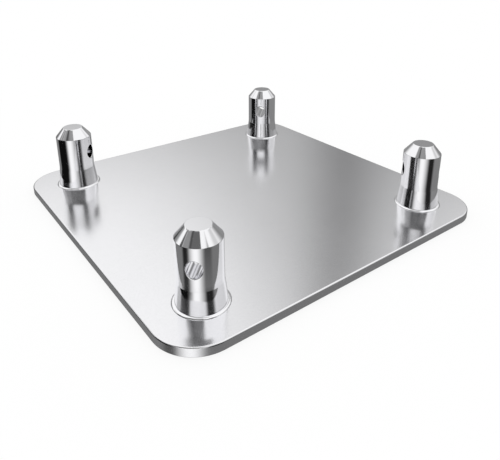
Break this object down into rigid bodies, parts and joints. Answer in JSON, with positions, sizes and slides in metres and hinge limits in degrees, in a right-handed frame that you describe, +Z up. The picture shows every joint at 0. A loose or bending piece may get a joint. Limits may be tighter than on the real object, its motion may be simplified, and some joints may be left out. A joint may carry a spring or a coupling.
{
  "type": "truss base plate",
  "caption": "Square metal plate with rounded corners and upright cross-drilled conical spigots welded near its corners, which take the tubes of a square truss.",
  "frame": {"origin": "centre of the plate's underside", "axes": "+Z up out of the plate, towards the spigots' tips; X and Y along the plate's sides"},
  "size_m": [0.25, 0.25, 0.052],
  "materials": {
    "plate": "satin, finely blasted",
    "spigot": "turned and polished",
    "weld": "smooth bright weld bead"
  },
  "bodies": {
    "root": {"base_plate": "plate", "spigot_front_left": "spigot", "spigot_front_right": "spigot", "spigot_back_left": "spigot", "spigot_back_right": "spigot", "weld_front_left": "weld", "weld_front_right": "weld", "weld_back_left": "weld", "weld_back_right": "weld"}
  },
  "joints": []
}
